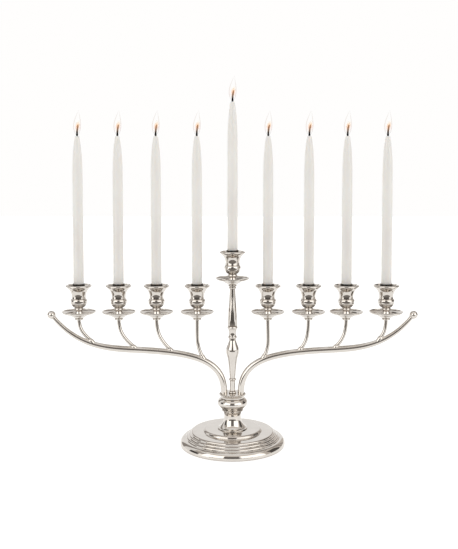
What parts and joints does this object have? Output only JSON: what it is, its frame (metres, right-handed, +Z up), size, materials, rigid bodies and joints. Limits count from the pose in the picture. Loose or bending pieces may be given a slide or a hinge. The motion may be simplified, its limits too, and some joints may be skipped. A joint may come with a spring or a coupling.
{
  "type": "menorah",
  "caption": "Branched menorah for taper candles: two swept arms of side lights at one height and a taller middle light, on a turned stem with a stepped round base.",
  "frame": {"origin": "middle of the base's underside, on the table", "axes": "+X along the arms, +Z up, +Y from front to back"},
  "size_m": [0.456, 0.1296, 0.4359],
  "materials": {
    "nickel_plate": "polished",
    "bright_steel": "satin",
    "felt": "matte",
    "candle_wax": "satin",
    "wick_cotton": "matte"
  },
  "bodies": {
    "stand": {"felt_pad": "felt", "bottom_plate": "bright_steel", "base_shell": "nickel_plate", "stem_foot": "nickel_plate", "stem_knob": "nickel_plate", "beaded_collar": "nickel_plate", "hub_cap": "nickel_plate", "tie_rod": "bright_steel", "tie_nut": "bright_steel", "column_lower": "nickel_plate", "column_upper": "nickel_plate", "left_arm": "nickel_plate", "right_arm": "nickel_plate", "arm_end_balls": "nickel_plate", "pan_ferrules": "nickel_plate", "m3_nuts": "bright_steel", "left_branch_1": "nickel_plate", "left_branch_2": "nickel_plate", "left_branch_3": "nickel_plate", "left_branch_4": "nickel_plate", "right_branch_1": "nickel_plate", "right_branch_2": "nickel_plate", "right_branch_3": "nickel_plate", "right_branch_4": "nickel_plate", "pan_middle": "nickel_plate", "pan_left_1": "nickel_plate", "pan_left_2": "nickel_plate", "pan_left_3": "nickel_plate", "pan_left_4": "nickel_plate", "pan_right_1": "nickel_plate", "pan_right_2": "nickel_plate", "pan_right_3": "nickel_plate", "pan_right_4": "nickel_plate", "cup_middle": "nickel_plate", "cup_left_1": "nickel_plate", "cup_left_2": "nickel_plate", "cup_left_3": "nickel_plate", "cup_left_4": "nickel_plate", "cup_right_1": "nickel_plate", "cup_right_2": "nickel_plate", "cup_right_3": "nickel_plate", "cup_right_4": "nickel_plate"},
    "lift_middle": {"candle_middle": "candle_wax", "wick_middle": "wick_cotton"},
    "lift_left_1": {"candle_left_1": "candle_wax", "wick_left_1": "wick_cotton"},
    "lift_left_2": {"candle_left_2": "candle_wax", "wick_left_2": "wick_cotton"},
    "lift_left_3": {"candle_left_3": "candle_wax", "wick_left_3": "wick_cotton"},
    "lift_left_4": {"candle_left_4": "candle_wax", "wick_left_4": "wick_cotton"},
    "lift_right_1": {"candle_right_1": "candle_wax", "wick_right_1": "wick_cotton"},
    "lift_right_2": {"candle_right_2": "candle_wax", "wick_right_2": "wick_cotton"},
    "lift_right_3": {"candle_right_3": "candle_wax", "wick_right_3": "wick_cotton"},
    "lift_right_4": {"candle_right_4": "candle_wax", "wick_right_4": "wick_cotton"}
  },
  "joints": [
    {"name": "candle_middle_lift", "type": "slide", "parent": "stand", "child": "lift_middle", "axis": [0, 0, 1], "range_m": [0, 0.05]},
    {"name": "candle_left_1_lift", "type": "slide", "parent": "stand", "child": "lift_left_1", "axis": [0, 0, 1], "range_m": [0, 0.05]},
    {"name": "candle_left_2_lift", "type": "slide", "parent": "stand", "child": "lift_left_2", "axis": [0, 0, 1], "range_m": [0, 0.05]},
    {"name": "candle_left_3_lift", "type": "slide", "parent": "stand", "child": "lift_left_3", "axis": [0, 0, 1], "range_m": [0, 0.05]},
    {"name": "candle_left_4_lift", "type": "slide", "parent": "stand", "child": "lift_left_4", "axis": [0, 0, 1], "range_m": [0, 0.05]},
    {"name": "candle_right_1_lift", "type": "slide", "parent": "stand", "child": "lift_right_1", "axis": [0, 0, 1], "range_m": [0, 0.05]},
    {"name": "candle_right_2_lift", "type": "slide", "parent": "stand", "child": "lift_right_2", "axis": [0, 0, 1], "range_m": [0, 0.05]},
    {"name": "candle_right_3_lift", "type": "slide", "parent": "stand", "child": "lift_right_3", "axis": [0, 0, 1], "range_m": [0, 0.05]},
    {"name": "candle_right_4_lift", "type": "slide", "parent": "stand", "child": "lift_right_4", "axis": [0, 0, 1], "range_m": [0, 0.05]}
  ]
}
